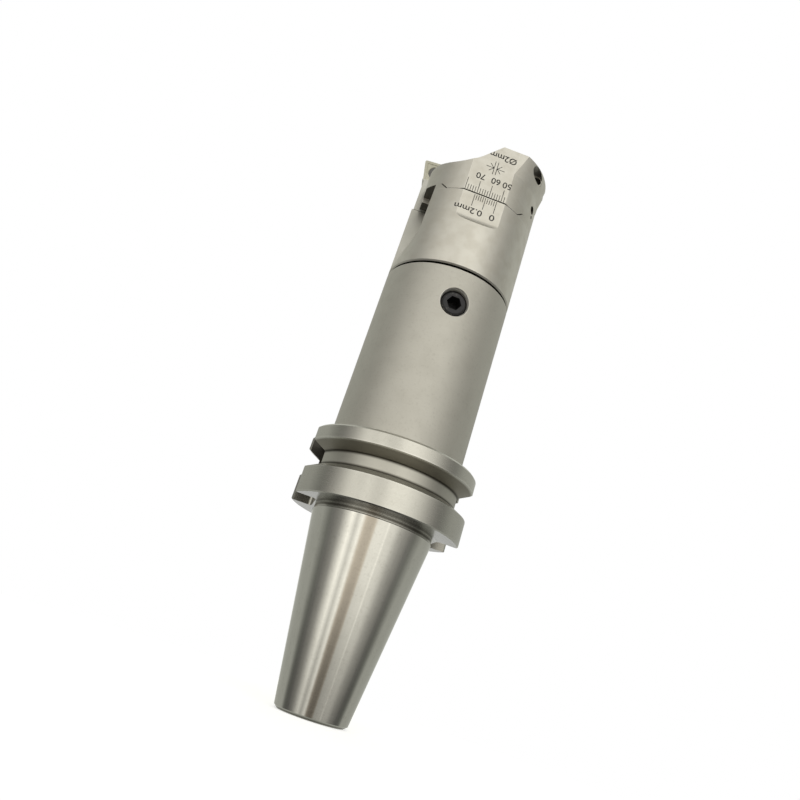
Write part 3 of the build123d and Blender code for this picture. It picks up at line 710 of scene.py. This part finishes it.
def on_flat(points, rear):
    """Points of the flat, in mm to the right, up and outwards, as metres on the tool; the rear is a half turn.
    Past the flat's edge they follow the round side: y = sqrt(R^2 - x^2) where that is less than the flat's y."""
    right, up, out = points[..., 0], points[..., 1], points[..., 2]
    turn = -1.0 if rear else 1.0
    side = np.minimum(FLAT_Y, np.sqrt(BODY_R ** 2 - right ** 2))
    return np.stack((turn * right, -turn * (side + out), up), -1) * MM


def bars(ends, width):
    """Thin bars between two ends on the flat: four corners half a width to each side, at two depths."""
    start, stop = ends[:, :2], ends[:, 2:]
    along = (stop - start) / np.linalg.norm(stop - start, axis=1, keepdims=True)
    aside = np.stack((-along[:, 1], along[:, 0]), -1) * width / 2
    outline = np.stack((start - aside, stop - aside, stop + aside, start + aside), 1)
    low = np.concatenate((outline, np.full((*outline.shape[:2], 1), -SUNK)), -1)
    high = np.concatenate((outline, np.full((*outline.shape[:2], 1), PROUD)), -1)
    return np.concatenate((low, high), 1).reshape(-1, 3)


def bar_faces(corners):
    """Six quads for each bar of eight corners."""
    box = np.array([[3, 2, 1, 0], [4, 5, 6, 7], [0, 1, 5, 4], [1, 2, 6, 5], [2, 3, 7, 6], [3, 0, 4, 7]])
    first = np.arange(0, len(corners), BAR_CORNERS)
    return (first[:, None, None] + box[None]).reshape(-1, 4)


print("a stroke stands", PROUD, "mm proud")

# %% [markdown]
# ## The lines of the scales
# Each cartridge carries lines one millimetre apart: a step of one is two millimetres of bore. The body
# under it has a vernier, ten steps of nine tenths. At rest the vernier's zero stands three tenths of the
# way from 50 to 60, which is bore 53. Above the scale is a small sign: two arrows that meet at a gap.

# %% Scale lines
SLIDE_ZERO, SLIDE_STEP, SLIDE_COUNT = 6.75, 1.0, 16
SLIDE_FOOT, SLIDE_SHORT, SLIDE_LONG = 132.7, 135.2, 138.1
VERNIER_ZERO, VERNIER_STEP, VERNIER_COUNT = 5.25, 0.9, 11
VERNIER_FOOT, VERNIER_SHORT, VERNIER_LONG = 131.75, 129.3, 126.2
LINE_WIDTH, SIGN_WIDTH = 0.25, 0.26
LONG_EVERY = 5


def lines(places, foot, short, long):
    """Upright scale lines at the listed places, from a foot to a short or, for every fifth, a long end."""
    end = np.where(np.arange(len(places)) % LONG_EVERY == 0, long, short)
    return np.stack((places, np.full_like(places, foot), places, end), -1)


slide_places = SLIDE_ZERO - SLIDE_STEP * np.arange(SLIDE_COUNT)
slide_lines = lines(slide_places, SLIDE_FOOT, SLIDE_SHORT, SLIDE_LONG)
spare_line = np.array([[SLIDE_ZERO + SLIDE_STEP, SLIDE_FOOT, SLIDE_ZERO + SLIDE_STEP, SLIDE_SHORT]])
vernier_places = VERNIER_ZERO - VERNIER_STEP * np.arange(VERNIER_COUNT)
vernier_lines = lines(vernier_places, VERNIER_FOOT, VERNIER_SHORT, VERNIER_LONG)
gap_sign = np.array([[0.25, 143.3, 0.25, 149.6], [1.4, 143.3, 1.4, 149.6], [-3.0, 146.3, 0.15, 146.3],
                     [0.15, 146.3, -1.6, 148.1], [0.15, 146.3, -1.6, 144.5], [4.6, 146.3, 1.5, 146.3],
                     [1.5, 146.3, 3.2, 148.1], [1.5, 146.3, 3.2, 144.5]])
all_slide_lines = np.concatenate((slide_lines, spare_line))
slide_bars = np.concatenate((bars(all_slide_lines, LINE_WIDTH), bars(gap_sign, SIGN_WIDTH)))
vernier_bars = bars(vernier_lines, LINE_WIDTH)
print("bars on a slide:", len(slide_bars) // BAR_CORNERS, "on a vernier:", len(vernier_bars) // BAR_CORNERS)

# %% [markdown]
# ## Figures
# The figures stand on their heads in the photograph, because the tool is read hanging in the machine.
# They could be drawn stroke by stroke. Blender's own letters are quicker and rounder: they are made into
# a mesh first, and their points are then scaled to the measured height and width and turned on the flat.

# %% Figures on a flat
LETTER_DEPTH, LETTER_WEIGHT = 0.02, 0.012


def read_mesh(mesh):
    """Points and triangles of a mesh as arrays; the mesh itself is removed."""
    mesh.calc_loop_triangles()
    points = np.empty(len(mesh.vertices) * 3)
    mesh.vertices.foreach_get("co", points)
    triangles = np.empty(len(mesh.loop_triangles) * 3, np.int64)
    mesh.loop_triangles.foreach_get("vertices", triangles)
    bpy.data.meshes.remove(mesh)
    return points.reshape(-1, 3), triangles.reshape(-1, 3)


def figures(words, centre, height, width=None):
    """Mesh of a word on the flat: points in mm and triangles, turned half round about its centre."""
    curve = bpy.data.curves.new("figures", "FONT")
    curve.body = words
    curve.extrude = LETTER_DEPTH
    curve.offset = LETTER_WEIGHT
    holder = bpy.data.objects.new("figures", curve)
    scene.collection.objects.link(holder)
    bpy.context.view_layer.update()
    letters = holder.evaluated_get(bpy.context.evaluated_depsgraph_get())
    points, triangles = read_mesh(bpy.data.meshes.new_from_object(letters))
    bpy.data.objects.remove(holder)
    bpy.data.curves.remove(curve)
    low, high = points.min(0), points.max(0)
    tall = height / (high[1] - low[1])
    wide = width / (high[0] - low[0]) if width else tall
    middle = (low + high) / 2
    right = centre[0] - (points[:, 0] - middle[0]) * wide
    up = centre[1] - (points[:, 1] - middle[1]) * tall
    out = np.where(points[:, 2] > 0, PROUD, -SUNK)
    return np.stack((right, up, out), -1), triangles


def together(parts):
    """Several meshes of points and triangles as one."""
    starts = np.cumsum([0] + [len(points) for points, _ in parts[:-1]])
    points = np.concatenate([points for points, _ in parts])
    return points, np.concatenate([faces + start for (_, faces), start in zip(parts, starts)])


slide_words = together([figures("50", (7.3, 140.4), 2.8), figures("60", (2.5, 140.5), 2.8),
                        figures("70", (-3.8, 140.5), 2.8), figures("Ø2mm", (2.6, 152.3), 2.9, 11.2)])
vernier_words = together([figures("0", (5.2, 124.1), 2.7, 2.1), figures("0.2mm", (-4.5, 124.1), 2.7, 11.2)])
print("figures:", len(slide_words[1]) + len(vernier_words[1]), "triangles a side")

# %% [markdown]
# ## Where a word leaves its flat
# Three words don't fit on their flat. One runs out over the cartridge's roof, so it is cut off along the
# roof's plane. Two go on round the side, so they are cut at the flat's edge, where they bend. Points could
# be moved to the edge instead, but that would bend the letters, and a cut along a plane is exact.

# %% Cuts through the words
ROOF_PLACE, ROOF_SLOPE = (1.7, 157.55, 0), math.radians(47.5)


def cut(parts, place, normal, drop=False):
    """Points and triangles cut along a plane through a place; drop removes the side that its normal points to."""
    mesh = new_mesh("cut", *parts)
    shape = bmesh.new()
    shape.from_mesh(mesh)
    everything = shape.verts[:] + shape.edges[:] + shape.faces[:]
    bmesh.ops.bisect_plane(shape, geom=everything, plane_co=place, plane_no=normal, clear_outer=drop)
    shape.to_mesh(mesh)
    shape.free()
    return read_mesh(mesh)


slide_words = cut(slide_words, ROOF_PLACE, (-math.sin(ROOF_SLOPE), math.cos(ROOF_SLOPE), 0), drop=True)
slide_words = cut(slide_words, (FLAT_EDGE, 0, 0), (1, 0, 0))
vernier_words = cut(vernier_words, (-FLAT_EDGE, 0, 0), (1, 0, 0))
print("after the cuts:", len(slide_words[1]) + len(vernier_words[1]), "triangles a side")

# %% [markdown]
# ## The marks on the tool
# The scale belongs to the slide and moves with it. The vernier stays on the body. So each group of marks
# is a piece of its own and rides on the body that it is engraved in.

# %% Marks in place
marks = [("slide_lines", slide_bars, bar_faces(slide_bars)), ("slide_figures", *slide_words),
         ("vernier_lines", vernier_bars, bar_faces(vernier_bars)), ("vernier_figures", *vernier_words)]
for side, rear in (("front", False), ("rear", True)):
    for name, points, faces in marks:
        carrier = side + "_slide" if name.startswith("slide") else "tool_body"
        put(f"{side}_{name}", new_mesh(name, on_flat(points, rear), faces), ink, carrier)
print("groups of marks a side:", len(marks))

# %% [markdown]
# ## The pull stud thread
# The solids have plain bores where the real ones are threaded. The pull stud's bore stands open at the
# small end, so it gets its thread here. A crest is a low ridge on a helix: a profile of three points carried
# along that path. Its height fades in over the first turn and out over the last, as a tap leaves it.

# %% Thread crest
THREAD_R, THREAD_PITCH, THREAD_LENGTH, CREST_HEIGHT = 7.0, 2.0, 31.5, 0.35
THREAD_START = -59.2
CREST_HALF, CREST_ROOT = 0.3, 0.02
FADE_TURNS, FADE_LEAST = 0.7, 0.03
TURN_STEPS = 48


def crest(radius, pitch, length, height):
    """Ridge inside a bore along +Z: r = radius - h, z = pitch t + w over t turns, for a three-point profile."""
    turns = length / pitch - 2 * CREST_HALF
    turn = np.linspace(0, turns, int(turns * TURN_STEPS))[:, None]
    fade = np.clip(np.minimum(turn, turns - turn) / FADE_TURNS, FADE_LEAST, 1)
    lift = np.array([[-CREST_ROOT, height, -CREST_ROOT]]) * np.where(np.array([[0, 1, 0]]), fade, 1)
    shift = np.array([[-CREST_HALF, 0.0, CREST_HALF]]) * pitch
    angle = 2 * np.pi * turn
    reach = radius - lift
    level = pitch * (turn + CREST_HALF) + shift
    return np.stack((reach * np.cos(angle), reach * np.sin(angle), level), -1)


stud_points = crest(THREAD_R, THREAD_PITCH, THREAD_LENGTH, CREST_HEIGHT) + np.array([0, 0, THREAD_START])
stud_mesh = new_mesh("pull_stud_crest", stud_points * MM, grid_faces(*stud_points.shape[:2]))
put("pull_stud_crest", stud_mesh, arbor_steel, "tool_body")
print("pull stud crest:", len(stud_points), "steps of its helix")

# %% [markdown]
# ## Knurled screw heads
# A socket head screw has a knurled rim for the fingers. It could be bump in the finish, but then its
# outline would stay smooth. It is a ring whose radius ripples with the angle, a hair larger than the plain
# head of the solid, and it turns with the screw.

# %% Knurls
HEAD_R, KNURL_LOW, KNURL_HIGH = 4.25, 143.2, 147.3
CLAMP_PLACE = np.array([-6.0, -10.8, 0.0])
TEETH, TOOTH_STEPS, TOOTH_DEPTH = 44, 8, 0.12
RIM, RIM_SUNK = 0.15, 0.02


def knurl(radius, low, high):
    """Ring: r = radius + depth |sin(teeth t / 2)|, drawn in at its two rims."""
    turn = np.linspace(0, 2 * np.pi, TEETH * TOOTH_STEPS, endpoint=False)[None, :]
    ripple = TOOTH_DEPTH * np.abs(np.sin(TEETH * turn / 2))
    level = np.array([low, low + RIM, high - RIM, high])[:, None]
    full = np.array([0.0, 1.0, 1.0, 0.0])[:, None]
    reach = radius - RIM_SUNK + full * (RIM_SUNK + ripple)
    return np.stack((reach * np.cos(turn), reach * np.sin(turn), level + 0 * turn), -1)


ring = knurl(HEAD_R, KNURL_LOW, KNURL_HIGH)
ring_faces = grid_faces(*ring.shape[:2], closed=True)
for side, turn in (("front", 1.0), ("rear", -1.0)):
    knurl_mesh = new_mesh("knurl", (ring + CLAMP_PLACE * turn) * MM, ring_faces)
    put(side + "_clamp_knurl", knurl_mesh, black_oxide, side + "_clamp")
print("knurls of", TEETH, "teeth")
